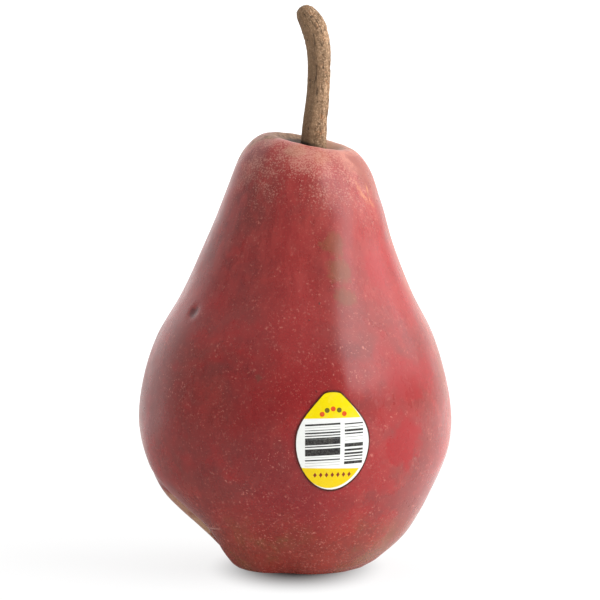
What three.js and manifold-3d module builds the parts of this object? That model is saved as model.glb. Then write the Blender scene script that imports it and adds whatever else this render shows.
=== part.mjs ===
// A ripe red pear standing on its blossom end, with its woody stem, the dried calyx in the basin
// underneath and an oval paper sticker on the belly. Millimetres, +Z up. The origin is on the
// surface that the pear stands on, under the middle of the belly, and the sticker faces -Y.

import * as THREE from "three";
import { mergeVertices } from "three/addons/utils/BufferGeometryUtils.js";
import Module from "manifold-3d";

const wasm = await Module();
wasm.setup();

const DEGREE = Math.PI / 180;
const FULL_TURN = 2 * Math.PI;

// Driving sizes of the fruit
const BELLY_RADIUS = 35.6;
const BELLY_HEIGHT = 40;
const NECK_RADIUS = 17.7;
const NECK_HEIGHT = 86.5;
const SHOULDER_RADIUS = 9.7;
const SHOULDER_HEIGHT = 98.8;
const FOOT_INNER_RADIUS = 9.4;
const FOOT_OUTER_RADIUS = 13.6;
const BASIN_DEPTH = 5.6;

// The stem stands in a round socket in the floor of its cavity, and the calyx tube in one in the
// basin. Each socket is wider than what stands in it by the clearance.
const CLEARANCE = 0.4;
const STEM_ROOT_RADIUS = 2.7;
const STEM_SOCKET_FLOOR = 88.5;
const STEM_AT_X = 4.1;
const CAVITY_FLOOR_HEIGHT = 94.3;
const CALYX_TUBE_RADIUS = 2.2;
const CALYX_SOCKET_TOP = 9;
const CALYX_AT_X = 1.2;

// Stations along the fruit's outline, from the basin to the stem's cavity: the radius, the
// height, and how far the round section's middle leans towards +X there.
const OUTLINE = [
  { radius: CALYX_TUBE_RADIUS + CLEARANCE, height: BASIN_DEPTH, lean: CALYX_AT_X },
  { radius: 6.6, height: 3.9, lean: CALYX_AT_X },
  { radius: FOOT_INNER_RADIUS, height: -0.1, lean: 1.3 },
  { radius: FOOT_OUTER_RADIUS, height: -0.4, lean: 1.4 },
  { radius: 17.7, height: 2.9, lean: 1.6 },
  { radius: 24.6, height: 9.8, lean: 2 },
  { radius: 31.4, height: 18.4, lean: 0.1 },
  { radius: 35.4, height: 28.5, lean: -0.1 },
  { radius: BELLY_RADIUS, height: BELLY_HEIGHT, lean: -0.1 },
  { radius: 32.1, height: 53, lean: -0.1 },
  { radius: 26.2, height: 64.5, lean: 0.4 },
  { radius: 21.4, height: 76, lean: 0.8 },
  { radius: NECK_RADIUS, height: NECK_HEIGHT, lean: 1.7 },
  { radius: 14.6, height: 94.2, lean: 2.6 },
  { radius: SHOULDER_RADIUS, height: SHOULDER_HEIGHT, lean: 3.2 },
  { radius: 5.7, height: 97.5, lean: 3.7 },
  { radius: STEM_ROOT_RADIUS + CLEARANCE, height: CAVITY_FLOOR_HEIGHT, lean: STEM_AT_X },
];
const OUTLINE_STEPS = 48;
const ROUND_STEPS = 60;

// Five broad lobes run up from the blossom end, with narrow valleys between them. They stand
// out most around the deepest valley, and that valley is creased.
const LOBES = 5;
const LOBE_HEIGHT = 0.55;
const LOBE_HEIGHT_SWING = 0.45;
const VALLEY_ANGLE = 186 * DEGREE;
const LOBE_FADE = [3, 30];
const LOBE_START_RADIUS = [4, 12];
const FOOT_WAVE = 0.25;
const FOOT_WAVE_FADE = [0.5, 6];
const CREASE_DEPTH = 1.4;
const CREASE_ANGLE = 188 * DEGREE;
const CREASE_HALF_WIDTH = 10 * DEGREE;
const CREASE_START_RADIUS = [11, 17];
const CREASE_FADE = [13, 25];

// A soft ridge runs down the front of the neck, and the shoulder slopes down to the right
const RIDGE_HEIGHT = 0.45;
const RIDGE_ANGLE = -72 * DEGREE;
const RIDGE_HALF_WIDTH = 20 * DEGREE;
const RIDGE_RISE = [34, 55];
const RIDGE_FADE = [84, 97];
const SHOULDER_SLOPE_X = 0.21;
const SHOULDER_SLOPE_Y = -0.05;
const SHOULDER_SLOPE_RISE = [80, 99];

// The stem: its centre line from the root to the tip, and its radius along the way
const STEM_LINE = new THREE.CatmullRomCurve3(
  [
    [STEM_AT_X, 0, 89],
    [STEM_AT_X, 0, 96],
    [4.5, 0.1, 103],
    [5.2, 0.4, 109.5],
    [5.5, 0.6, 116],
    [5.2, 0.5, 121.6],
    [4, 0.1, 126.1],
    [1.3, -0.4, 130.3],
  ].map((point) => new THREE.Vector3(...point)),
  false,
  "catmullrom",
  0.5,
);
const STEM_PROFILE = [
  [0, 0],
  [0, STEM_ROOT_RADIUS],
  [7, STEM_ROOT_RADIUS],
  [8.8, 3.05],
  [11, 2.85],
  [15.5, 2.75],
  [21.5, 2.62],
  [27.5, 2.56],
  [32.5, 2.75],
  [36.6, 2.9],
  [39, 2.65],
  [40.8, 2.2],
  [41.8, 1.5],
  [42.3, 0],
];
const STEM_STEPS_BETWEEN = 2;
const STEM_ROUND_STEPS = 20;
const STEM_RIDGES = 5;
const STEM_RIDGE_HEIGHT = 0.09;

// The calyx: a short tube, five dried sepals spread along the basin, and the stamens inside them
const SEPALS = 5;
const SEPAL_LENGTH = 5.6;
const SEPAL_WIDTH = 3;
const SEPAL_THICKNESS = 0.6;
const SEPAL_STEPS = 8;
const CALYX_RIM_HEIGHT = 4.3;
const CALYX_TUBE_TOP = CALYX_SOCKET_TOP - CLEARANCE;
const SEPAL_START_RADIUS = 1.3;
const SEPAL_DROP = 2.3;
const SEPAL_CUP = 0.35;
const STAMENS = 10;
const STAMEN_LENGTH = 2.2;
const STAMEN_RADIUS = 0.32;
const STAMEN_SPREAD = 22 * DEGREE;

// The sticker: a thin oval with a narrowed nose, wrapped on the belly
const STICKER_ANGLE = -75.5 * DEGREE;
const STICKER_HEIGHT = 33.6;
const STICKER_HALF_WIDTH = 8.6;
const STICKER_HALF_LENGTH = 11.5;
const STICKER_NOSE_PINCH = 0.34;
const STICKER_NOSE_RANGE = [0.35, 0.85];
const STICKER_GAP = 0.12;
const STICKER_THICKNESS = 0.25;
const STICKER_RINGS = 8;
const STICKER_ROUND_STEPS = 44;

// 0 below the range, 1 above it, and a smooth step between.
function smoothStep([from, to], value) {
  return THREE.MathUtils.smoothstep(value, from, to);
}

// A lathe turned about Z, whose vertex for each profile point and turn angle is then moved to
// where place(index, angle) says.
function turned(profile, steps, place) {
  const geometry = new THREE.LatheGeometry(
    profile.map(([radius, along]) => new THREE.Vector2(radius, along)),
    steps,
  );
  const position = geometry.getAttribute("position");
  for (let i = 0; i < position.count; i++) {
    const turn = Math.floor(i / profile.length) % steps;
    const point = place(i % profile.length, (turn / steps) * FULL_TURN);
    position.setXYZ(i, point.x, point.y, point.z);
  }
  geometry.deleteAttribute("normal");
  geometry.deleteAttribute("uv");
  return mergeVertices(geometry, 1e-4);
}

const outlineCurve = new THREE.CatmullRomCurve3(
  OUTLINE.map(({ radius, height, lean }) => new THREE.Vector3(radius, height, lean)),
  false,
  "catmullrom",
  0.5,
);

// How far the lobes stand out at an angle: broad crests, narrower valleys.
function lobeWave(angle) {
  const phase = LOBES * (angle - VALLEY_ANGLE) + Math.PI;
  const height = LOBE_HEIGHT + LOBE_HEIGHT_SWING * Math.cos(angle - VALLEY_ANGLE);
  return height * (Math.cos(phase) - 0.25 * Math.cos(2 * phase));
}

// A bell that is 1 at the middle angle and fades out over the half width.
function bell(angle, middle, halfWidth) {
  const turn = THREE.MathUtils.euclideanModulo(angle - middle + Math.PI, FULL_TURN) - Math.PI;
  return Math.exp(-((turn / halfWidth) ** 2));
}

// The point of the fruit's skin at an angle about the core, for a place on its outline.
function skinPoint(angle, { radius, height, lean }) {
  const low = 1 - smoothStep(LOBE_FADE, height);
  const lobe = low * smoothStep(LOBE_START_RADIUS, radius) * lobeWave(angle);
  const body = smoothStep(RIDGE_RISE, height) * (1 - smoothStep(RIDGE_FADE, height));
  const ridge = RIDGE_HEIGHT * body * bell(angle, RIDGE_ANGLE, RIDGE_HALF_WIDTH);
  const creased = smoothStep(CREASE_START_RADIUS, radius) * (1 - smoothStep(CREASE_FADE, height));
  const crease = CREASE_DEPTH * creased * bell(angle, CREASE_ANGLE, CREASE_HALF_WIDTH);
  const r = radius + lobe + ridge - crease;
  const x = r * Math.cos(angle);
  const y = r * Math.sin(angle);
  const top = smoothStep(SHOULDER_SLOPE_RISE, height);
  const slope = top * (SHOULDER_SLOPE_X * x + SHOULDER_SLOPE_Y * y);
  const wave = FOOT_WAVE * lobe * (1 - smoothStep(FOOT_WAVE_FADE, height));
  return new THREE.Vector3(x + lean, y, Math.max(height - slope - wave, 0));
}

// The skin runs from socket to socket, and each socket is a plain round hole with a flat end.
function fruitGeometry() {
  const points = outlineCurve.getPoints(OUTLINE_STEPS);
  const skin = points.map(({ x, y, z }) => ({ radius: x, height: y, lean: z }));
  const first = skin[0];
  const last = skin[skin.length - 1];
  const around = [
    { ...first, radius: 0, height: CALYX_SOCKET_TOP, plain: true },
    { ...first, height: CALYX_SOCKET_TOP, plain: true },
    ...skin,
    { ...last, height: STEM_SOCKET_FLOOR, plain: true },
    { ...last, radius: 0, height: STEM_SOCKET_FLOOR, plain: true },
  ];
  const profile = around.map(({ radius, height }) => [radius, height]);
  return turned(profile, ROUND_STEPS, (index, angle) => {
    const { radius, height, lean, plain } = around[index];
    if (!plain) return skinPoint(angle, around[index]);
    return new THREE.Vector3(radius * Math.cos(angle) + lean, radius * Math.sin(angle), height);
  });
}

// The stem's profile is turned and its rings are carried along the centre line.
function stemGeometry() {
  const rings = [];
  STEM_PROFILE.forEach(([along, radius], i) => {
    if (i > 0) {
      const [alongBefore, radiusBefore] = STEM_PROFILE[i - 1];
      const steps = along - alongBefore > 2 ? STEM_STEPS_BETWEEN : 1;
      for (let step = 1; step < steps; step++) {
        const share = step / steps;
        rings.push({
          along: THREE.MathUtils.lerp(alongBefore, along, share),
          radius: THREE.MathUtils.lerp(radiusBefore, radius, share),
        });
      }
    }
    rings.push({ along, radius });
  });
  const sideways = new THREE.Vector3();
  const backwards = new THREE.Vector3();
  const profile = rings.map(({ radius, along }) => [radius, along]);
  return turned(profile, STEM_ROUND_STEPS, (index, angle) => {
    const { along, radius } = rings[index];
    const share = Math.min(along / STEM_LINE.getLength(), 1);
    const centre = STEM_LINE.getPointAt(share);
    const forwards = STEM_LINE.getTangentAt(share);
    backwards.crossVectors(forwards, new THREE.Vector3(1, 0, 0)).normalize();
    sideways.crossVectors(backwards, forwards);
    const bark = along > 8 ? STEM_RIDGE_HEIGHT * Math.sin(STEM_RIDGES * angle + 0.2 * along) : 0;
    const r = radius > 0 ? radius + bark : 0;
    return centre
      .addScaledVector(sideways, r * Math.cos(angle))
      .addScaledVector(backwards, r * Math.sin(angle));
  });
}

// A closed geometry as a solid for joining.
function solidOf(geometry) {
  const bare = geometry.clone();
  bare.deleteAttribute("normal");
  bare.deleteAttribute("uv");
  const merged = mergeVertices(bare, 1e-4);
  return new wasm.Manifold(
    new wasm.Mesh({
      numProp: 3,
      vertProperties: new Float32Array(merged.getAttribute("position").array),
      triVerts: new Uint32Array(merged.index.array),
    }),
  );
}

function geometryOf(solid) {
  const { vertProperties, triVerts } = solid.getMesh();
  return new THREE.BufferGeometry()
    .setAttribute("position", new THREE.BufferAttribute(vertProperties, 3))
    .setIndex(new THREE.BufferAttribute(triVerts, 1));
}

// One sepal: a box bent into a pointed blade that runs outwards and down along the basin's wall.
function sepalGeometry() {
  const blade = new THREE.BoxGeometry(1, 1, 1, SEPAL_STEPS, 4, 1);
  const position = blade.getAttribute("position");
  for (let i = 0; i < position.count; i++) {
    const along = position.getX(i) + 0.5;
    const across = 2 * position.getY(i);
    const through = position.getZ(i);
    const halfWidth = 0.5 * SEPAL_WIDTH * Math.sqrt(Math.cos(0.485 * Math.PI * along));
    const outwards = SEPAL_START_RADIUS + (SEPAL_LENGTH - SEPAL_START_RADIUS) * along;
    const hollow = SEPAL_DROP * along ** 2 + SEPAL_CUP * across ** 2 * (1 - along);
    const level = CALYX_RIM_HEIGHT - hollow + SEPAL_THICKNESS * through;
    position.setXYZ(i, outwards, halfWidth * across, level);
  }
  return blade;
}

// One stamen: a thin rod whose root is sunk in the calyx and whose tip points down and outwards.
function stamenGeometry() {
  const rod = new THREE.CylinderGeometry(STAMEN_RADIUS, STAMEN_RADIUS, STAMEN_LENGTH, 5);
  rod.translate(0, -STAMEN_LENGTH / 2 + 0.5, 0);
  rod.rotateX(Math.PI / 2);
  rod.rotateY(-STAMEN_SPREAD);
  rod.translate(0.9, 0, CALYX_RIM_HEIGHT);
  return rod;
}

function calyxGeometry() {
  const tubeHeight = CALYX_TUBE_TOP - CALYX_RIM_HEIGHT;
  const tube = new THREE.CylinderGeometry(CALYX_TUBE_RADIUS, CALYX_TUBE_RADIUS, tubeHeight, 20);
  tube.rotateX(Math.PI / 2);
  tube.translate(0, 0, CALYX_RIM_HEIGHT + tubeHeight / 2);
  let calyx = solidOf(tube);
  for (let i = 0; i < SEPALS; i++) {
    const sepal = sepalGeometry().rotateZ(((i + 0.5) / SEPALS) * FULL_TURN + VALLEY_ANGLE);
    calyx = calyx.add(solidOf(sepal));
  }
  for (let i = 0; i < STAMENS; i++) {
    calyx = calyx.add(solidOf(stamenGeometry().rotateZ((i / STAMENS) * FULL_TURN)));
  }
  return geometryOf(calyx).translate(CALYX_AT_X, 0, 0);
}

// The place on the fruit's outline at a height on the belly, found by halving.
function outlineAt(height) {
  let low = 3 / (OUTLINE.length - 1);
  let high = 14 / (OUTLINE.length - 1);
  for (let i = 0; i < 40; i++) {
    const middle = (low + high) / 2;
    if (outlineCurve.getPoint(middle).y < height) low = middle;
    else high = middle;
  }
  const { x, y, z } = outlineCurve.getPoint(low);
  return { radius: x, height: y, lean: z };
}

// Where a point of the flat sticker, right and up from its middle, lies over the skin.
function stickerPoint(right, up, lift) {
  const height = STICKER_HEIGHT + up;
  const angle = STICKER_ANGLE + right / BELLY_RADIUS;
  const here = skinPoint(angle, outlineAt(height));
  const above = skinPoint(angle, outlineAt(height + 0.5));
  const beside = skinPoint(angle + 0.5 / BELLY_RADIUS, outlineAt(height));
  const outwards = beside.sub(here).cross(above.sub(here)).normalize();
  return here.addScaledVector(outwards, lift);
}

function stickerGeometry() {
  const rings = [];
  const inner = STICKER_GAP;
  const outer = STICKER_GAP + STICKER_THICKNESS;
  for (let i = 0; i <= STICKER_RINGS; i++) rings.push({ share: i / STICKER_RINGS, lift: inner });
  for (let i = STICKER_RINGS; i >= 0; i--) rings.push({ share: i / STICKER_RINGS, lift: outer });
  const profile = rings.map(({ share, lift }) => [share, lift]);
  return turned(profile, STICKER_ROUND_STEPS, (index, angle) => {
    const { share, lift } = rings[index];
    const nose = STICKER_NOSE_PINCH * smoothStep(STICKER_NOSE_RANGE, Math.sin(angle));
    const right = share * STICKER_HALF_WIDTH * Math.cos(angle) * (1 - nose);
    const up = share * STICKER_HALF_LENGTH * Math.sin(angle);
    return stickerPoint(right, up, lift);
  });
}

// name, geometry, and the finish seen from a step away
const PIECES = [
  ["fruit", fruitGeometry(), { color: 0x943a3a, roughness: 0.45, metalness: 0 }],
  ["stem", stemGeometry(), { color: 0x8a6c4e, roughness: 0.85, metalness: 0 }],
  ["calyx", calyxGeometry(), { color: 0x3b2a1e, roughness: 0.9, metalness: 0 }],
  ["sticker", stickerGeometry(), { color: 0xf0cf22, roughness: 0.4, metalness: 0 }],
];

const pear = new THREE.Group();
pear.name = "pear";
for (const [name, geometry, finish] of PIECES) {
  const mesh = new THREE.Mesh(geometry, new THREE.MeshStandardMaterial(finish));
  mesh.name = name;
  pear.add(mesh);
}

export default pear;
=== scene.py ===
# %% [markdown]
# # A ripe red pear
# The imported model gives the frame: a fruit, its stem, its dried calyx and a paper sticker, with the
# pear standing on the floor at z = 0. Every piece here is worked out again as a fine surface from
# the same sizes, so it lies where the plain solid lies, and gets its own finish.

# %% Load the frame
from math import cos, pi, radians, sin

import bmesh
import bpy
import numpy as np
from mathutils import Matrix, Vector


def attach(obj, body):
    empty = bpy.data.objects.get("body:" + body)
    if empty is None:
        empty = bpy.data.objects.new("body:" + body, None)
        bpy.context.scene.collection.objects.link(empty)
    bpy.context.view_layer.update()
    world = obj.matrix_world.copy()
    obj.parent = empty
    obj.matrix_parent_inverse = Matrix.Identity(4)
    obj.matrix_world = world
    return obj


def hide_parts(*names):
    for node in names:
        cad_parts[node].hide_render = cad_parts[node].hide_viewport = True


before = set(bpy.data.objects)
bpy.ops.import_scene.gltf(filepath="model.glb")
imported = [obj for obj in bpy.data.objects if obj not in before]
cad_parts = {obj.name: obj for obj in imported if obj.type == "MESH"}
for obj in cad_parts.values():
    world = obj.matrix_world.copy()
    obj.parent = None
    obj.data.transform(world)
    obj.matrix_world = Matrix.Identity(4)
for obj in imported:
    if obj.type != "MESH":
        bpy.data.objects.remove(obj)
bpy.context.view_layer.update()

MM = 0.001
print("frame nodes:", sorted(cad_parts))

# %% [markdown]
# ## Camera
# The picture was taken from far away with a long lens, a little above the fruit, so there is
# almost no perspective. A camera 1.2 m away with a 310 mm lens frames 139 mm at the pear's middle.

# %% Camera
def new_object(name, data):
    """An object that shows its data, linked into the scene."""
    made = bpy.data.objects.new(name, data)
    bpy.context.collection.objects.link(made)
    return made


LOOK_DOWN = radians(6)
CAMERA_DISTANCE = 1.2
FRAME_WIDTH = 0.1394
LOOK_AT = Vector((1.09, 0, 62.14)) * MM

lens = bpy.data.cameras.new("long_lens")
lens.sensor_width = 36
lens.lens = lens.sensor_width * CAMERA_DISTANCE / FRAME_WIDTH
lens.clip_end = 20
camera = new_object("camera", lens)
camera.location = LOOK_AT + CAMERA_DISTANCE * Vector((0, -cos(LOOK_DOWN), sin(LOOK_DOWN)))
camera.rotation_euler = (pi / 2 - LOOK_DOWN, 0, 0)
bpy.context.scene.camera = camera
print("lens", round(lens.lens, 1), "mm")

# %% [markdown]
# ## Numpy helpers
# A natural form needs three tools: a smooth curve through a few measured stations, a soft step to
# fade one effect into the next, and smooth noise for the irregularities that growth leaves.

# %% Curve, step and noise helpers
def curve_through(stations, share):
    """A Catmull-Rom curve. Between stations b and c it is the cubic that starts at b with slope
    (c - a) / 2 and ends at c with slope (d - b) / 2. share runs from 0 at the first station to 1 at
    the last, and a station beyond each end is mirrored through that end."""
    p = np.asarray(stations, float)
    p = np.vstack([2 * p[0] - p[1], p, 2 * p[-1] - p[-2]])
    spans = len(p) - 3
    at = np.clip(share, 0, 1) * spans
    i = np.minimum(at.astype(int), spans - 1)
    w = (at - i)[..., None]
    a, b, c, d = p[i], p[i + 1], p[i + 2], p[i + 3]
    start, end = (c - a) / 2, (d - b) / 2
    return (2 * b - 2 * c + start + end) * w**3 + (3 * c - 3 * b - 2 * start - end) * w**2 + start * w + b


def soft_step(low, high, value):
    """0 below low, 1 above high, and 3w^2 - 2w^3 between, where w is the share of the way."""
    w = np.clip((value - low) / (high - low), 0, 1)
    return w * w * (3 - 2 * w)


def smooth_noise(point, cell, seed):
    """Smooth noise from -1 to 1. Each corner of a grid of the given cell size has a random value,
    and a point blends the values of the eight corners around it with soft steps."""
    table = np.random.default_rng(seed).uniform(-1, 1, (32, 32, 32))
    q = np.asarray(point, float) / cell
    base = np.floor(q).astype(int)
    w = q - base
    w = w * w * (3 - 2 * w)
    total = 0
    for corner in np.ndindex(2, 2, 2):
        weight = np.prod(np.where(corner, w, 1 - w), axis=-1)
        i, j, k = np.moveaxis((base + corner) % 32, -1, 0)
        total = total + weight * table[i, j, k]
    return total


def unit(vector):
    """The vector divided by its length."""
    return vector / np.linalg.norm(vector, axis=-1, keepdims=True)


# %% [markdown]
# ## From rings to a mesh
# Every piece of the pear is made of stacks of closed rings, like a lathe's. The fruit, the stem and
# the sticker are one stack each, whose ends close on a single point. One function turns such a stack
# into a closed mesh that faces outwards.

# %% Piece and ring mesh helpers
def new_piece(name, points, faces):
    """A smooth piece from points in millimetres and its faces. It rides the one body."""
    mesh = bpy.data.meshes.new(name)
    mesh.from_pydata((points * MM).tolist(), [], faces)
    mesh.shade_smooth()
    piece = new_object(name, mesh)
    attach(piece, "root")
    print(name, "has", len(mesh.polygons), "faces")
    return piece


def full_turn(steps):
    """The angles of evenly spaced steps round a full turn, the last one short of the first."""
    return np.linspace(0, 2 * np.pi, steps, endpoint=False)


def ring_mesh(name, rings, first_pole, last_pole):
    """A closed mesh from rings, an array (rows, points around, 3) in millimetres. A face joins two
    neighbours of one ring with the same two of the next, and a fan closes each end on its pole."""
    rows, around = rings.shape[:2]
    points = np.vstack([rings.reshape(-1, 3), first_pole, last_pole])
    ring, step = np.meshgrid(np.arange(rows - 1) * around, np.arange(around), indexing="ij")
    beside = (step + 1) % around
    quads = np.stack([ring + step, ring + beside, ring + around + beside, ring + around + step], -1)
    step = np.arange(around)
    beside = (step + 1) % around
    top = (rows - 1) * around
    first_fan = np.stack([np.full(around, rows * around), beside, step], -1)
    last_fan = np.stack([top + step, top + beside, np.full(around, rows * around + 1)], -1)
    return new_piece(name, points, quads.reshape(-1, 4).tolist() + first_fan.tolist() + last_fan.tolist())


def tube_rings(middle, across, upwards, radius, angle):
    """Rings round a line: its middle plus the radius times (across cos a + upwards sin a)."""
    outwards = across * np.cos(angle)[..., None] + upwards * np.sin(angle)[..., None]
    return middle + radius[..., None] * outwards


def give_vectors(piece, name, values):
    """Stores one vector for each vertex, for the piece's material to read by that name."""
    layer = piece.data.attributes.new(name, "FLOAT_VECTOR", "POINT")
    layer.data.foreach_set("vector", np.ascontiguousarray(values, np.float32).ravel())


# %% [markdown]
# ## The fruit's form
# The outline is a list of stations from the basin underneath, over the resting ring and the belly,
# up the neck and down into the stem's cavity. The section is nearly round. Five lobes run up from
# the blossom end, a soft ridge runs down the neck, and the shoulder slopes to the right. These are
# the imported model's own sizes, so both models are one form.

# %% The fruit's outline and section
# radius, height, and how far the section's middle leans towards +X, in millimetres
OUTLINE = [
    (2.6, 5.6, 1.2), (6.6, 3.9, 1.2), (9.4, -0.1, 1.3), (13.6, -0.4, 1.4), (17.7, 2.9, 1.6),
    (24.6, 9.8, 2.0), (31.4, 18.4, 0.1), (35.4, 28.5, -0.1), (35.6, 40.0, -0.1), (32.1, 53.0, -0.1),
    (26.2, 64.5, 0.4), (21.4, 76.0, 0.8), (17.7, 86.5, 1.7), (14.6, 94.2, 2.6), (9.7, 98.8, 3.2),
    (5.7, 97.5, 3.7), (3.1, 94.3, 4.1),
]
VALLEY_ANGLE = radians(186)
RIDGE_ANGLE, RIDGE_HALF_WIDTH = radians(-72), radians(20)
CREASE_ANGLE, CREASE_HALF_WIDTH = radians(188), radians(10)
STEM_AT = np.array([4.1, 0, 94.3])
CALYX_AT = np.array([1.2, 0, 5])


def lobe_wave(angle):
    """Five broad crests with narrower valleys, cos 5a - 0.25 cos 10a, turned to its deepest valley.
    The crests stand out most around that valley and least on the far side."""
    phase = 5 * (angle - VALLEY_ANGLE) + np.pi
    return (0.55 + 0.45 * np.cos(angle - VALLEY_ANGLE)) * (np.cos(phase) - 0.25 * np.cos(2 * phase))


def bell(angle, middle, half_width):
    """1 at the middle angle, and exp(-(turn / half width)^2) at a turn away from it."""
    turn = (angle - middle + np.pi) % (2 * np.pi) - np.pi
    return np.exp(-((turn / half_width) ** 2))


def plain_skin(angle, share):
    """The skin's point at an angle about the core and a share of the way along the outline. The
    lobes and the ridge are added to the radius, a crease is taken off it, the shoulder's slope is
    taken off the height, and what would lie below the floor is flattened onto it."""
    radius, height, lean = np.moveaxis(curve_through(OUTLINE, share), -1, 0)
    lobe = (1 - soft_step(3, 30, height)) * soft_step(4, 12, radius) * lobe_wave(angle)
    on_neck = soft_step(34, 55, height) * (1 - soft_step(84, 97, height))
    ridge = 0.45 * on_neck * bell(angle, RIDGE_ANGLE, RIDGE_HALF_WIDTH)
    low = soft_step(11, 17, radius) * (1 - soft_step(13, 25, height))
    r = radius + lobe + ridge - 1.4 * low * bell(angle, CREASE_ANGLE, CREASE_HALF_WIDTH)
    x, y = r * np.cos(angle), r * np.sin(angle)
    slope = soft_step(80, 99, height) * (0.21 * x - 0.05 * y)
    foot = 0.25 * lobe * (1 - soft_step(0.5, 6, height))
    return np.stack([x + lean, y, np.maximum(height - slope - foot, 0)], -1)


# %% [markdown]
# ## Growth marks
# A real pear isn't a lathe's smooth form. It has long shallow dents and swellings, faint flutes on
# the neck, and a few bruises from packing. At the lower left one lobe stands out behind the next, so
# the outline is double there. All of them move the skin along its own normal, and they fade out at
# the resting ring and in the two hollows.

# %% Relief of the skin
# angle in degrees, height, radius and depth of each dent in millimetres; a swelling's depth is below 0
DENTS = [
    (213.6, 61, 1.7, 0.42), (243, 47, 5, 0.16), (305, 74, 6, 0.14), (20, 52, 6, 0.18), (100, 44, 7, 0.2),
    (140, 70, 6, 0.16), (268, 28, 7, 0.12), (-2, 97.3, 4.2, -0.4), (-8, 24, 9, -0.2), (182, 46, 9, -0.15),
    (180, 25.5, 6, 0.4), (0, 32, 7, -0.35),
]
# middle and half width in degrees, the heights where it starts, is full, fades and is gone, and how far
# it moves the skin: the rear lobe, the fold before it and the flank of the front lobe
FOLDS = [(167, 12, 4, 13, 15, 25, 1.25), (181, 7, 5, 9, 15, 21, -1.6), (204, 15, 3.5, 7.5, 16, 24, -0.8)]
SHOULDER_ANGLE, SHOULDER_HALF_WIDTH = radians(38), radians(38)
LOW_HEEL_ANGLE, LOW_HEEL_HALF_WIDTH = radians(214), radians(30)
HEEL_HALF_WIDTH = radians(45)
BROW_X, BROW_HALF_WIDTH, BROW_RISE = 10.9, 4.2, 0.36


def skin_normal(angle, share):
    """The unit normal: the way round the skin crossed with the way up it, both by differences."""
    turn, climb = 1e-3, 1e-4
    around = plain_skin(angle + turn, share) - plain_skin(angle - turn, share)
    above, below = np.minimum(share + climb, 1), np.maximum(share - climb, 0)
    upwards = plain_skin(angle, above) - plain_skin(angle, below)
    return unit(np.cross(around, upwards))


def relief(point, angle):
    """How far growth and handling moved the skin: noise of three sizes, flutes that are sine waves
    round the neck, a brow down the front with a hollow beside it, the rear lobe with the fold and
    the lower flank before it, the rear shoulder, a fuller heel round the resting ring, and dents
    that are bells of the distance from their middles."""
    x, y, height = np.moveaxis(point, -1, 0)
    stretched = point * [1, 1, 0.6]
    moved = 0.18 + 0.2 * smooth_noise(stretched, 17, 1) + 0.09 * smooth_noise(stretched, 8, 2)
    moved += 0.016 * smooth_noise(point, 2.6, 3)
    flutes = np.sin(13 * angle + 2 * smooth_noise(stretched, 14, 4)) * soft_step(60, 80, height)
    moved += 0.05 * flutes
    from_brow = (x - BROW_X - 1.8 * soft_step(66, 88, height)) / BROW_HALF_WIDTH
    brow = (np.exp(-(from_brow**2)) - 0.6 * np.exp(-((from_brow + 1.7) ** 2))) * (y < 0)
    on_brow = soft_step(34, 50, height) * (1 - soft_step(84, 94, height))
    moved += BROW_RISE * brow * (on_brow * (1 + 0.8 * soft_step(60, 78, height)))
    for middle, spread, start, full, fading, gone, rise in FOLDS:
        level = soft_step(start, full, height) * (1 - soft_step(fading, gone, height))
        moved += rise * level * bell(angle, radians(middle), radians(spread))
    shoulder = bell(angle, SHOULDER_ANGLE, SHOULDER_HALF_WIDTH)
    moved += 0.15 * soft_step(89, 95, height) * shoulder
    for degrees, level, radius, depth in DENTS:
        place = np.interp(level, *HEIGHT_TO_SHARE)
        middle = plain_skin(np.array(radians(degrees)), np.array(place))
        distance = np.linalg.norm(point - middle, axis=-1) / radius
        moved -= depth * np.exp(-(distance**2))
        moved += 0.09 * depth * np.exp(-(((distance - 1.5) / 0.45) ** 2))
    outer = np.hypot(x - 2, y)
    fade = soft_step(1.5, 9, height) * soft_step(4, 12, outer + 40 * (height < 60))
    beyond_ring = soft_step(12, 15, outer)
    heel = soft_step(0, 2.5, height) * (1 - soft_step(4, 13, height)) * beyond_ring
    fuller = 0.75 - 0.15 * bell(angle, 0, HEEL_HALF_WIDTH) - 0.3 * bell(angle, pi, HEEL_HALF_WIDTH)
    low_heel = soft_step(0, 1, height) * (1 - soft_step(1.5, 5, height)) * beyond_ring
    low_heel = 0.35 * low_heel * bell(angle, LOW_HEEL_ANGLE, LOW_HEEL_HALF_WIDTH)
    return moved * fade + heel * fuller + low_heel


# the outline climbs all the way between these two of its stations, so a height there has one share
LOW_STATION, HIGH_STATION = 2.6, 13.6
share_table = np.linspace(LOW_STATION, HIGH_STATION, 600) / (len(OUTLINE) - 1)
HEIGHT_TO_SHARE = (curve_through(OUTLINE, share_table)[:, 1], share_table)


def skin(angle, share, lift=0.0):
    """The finished skin, or a surface that floats over it by lift."""
    point = plain_skin(angle, share)
    return point + skin_normal(angle, share) * (relief(point, angle) + lift)[..., None]


# %% The fruit
FRUIT_AROUND, FRUIT_ALONG = 288, 300
turn = full_turn(FRUIT_AROUND)
share, angle = np.meshgrid(np.linspace(0, 1, FRUIT_ALONG), turn, indexing="ij")
skin_rings = skin(angle, share)


def socket_rings(radius, middle_x, heights):
    """Plain round rings of a socket's wall, one for each height."""
    level, angle = np.meshgrid(heights, turn, indexing="ij")
    return np.stack([middle_x + radius * np.cos(angle), radius * np.sin(angle), level], -1)


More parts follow.
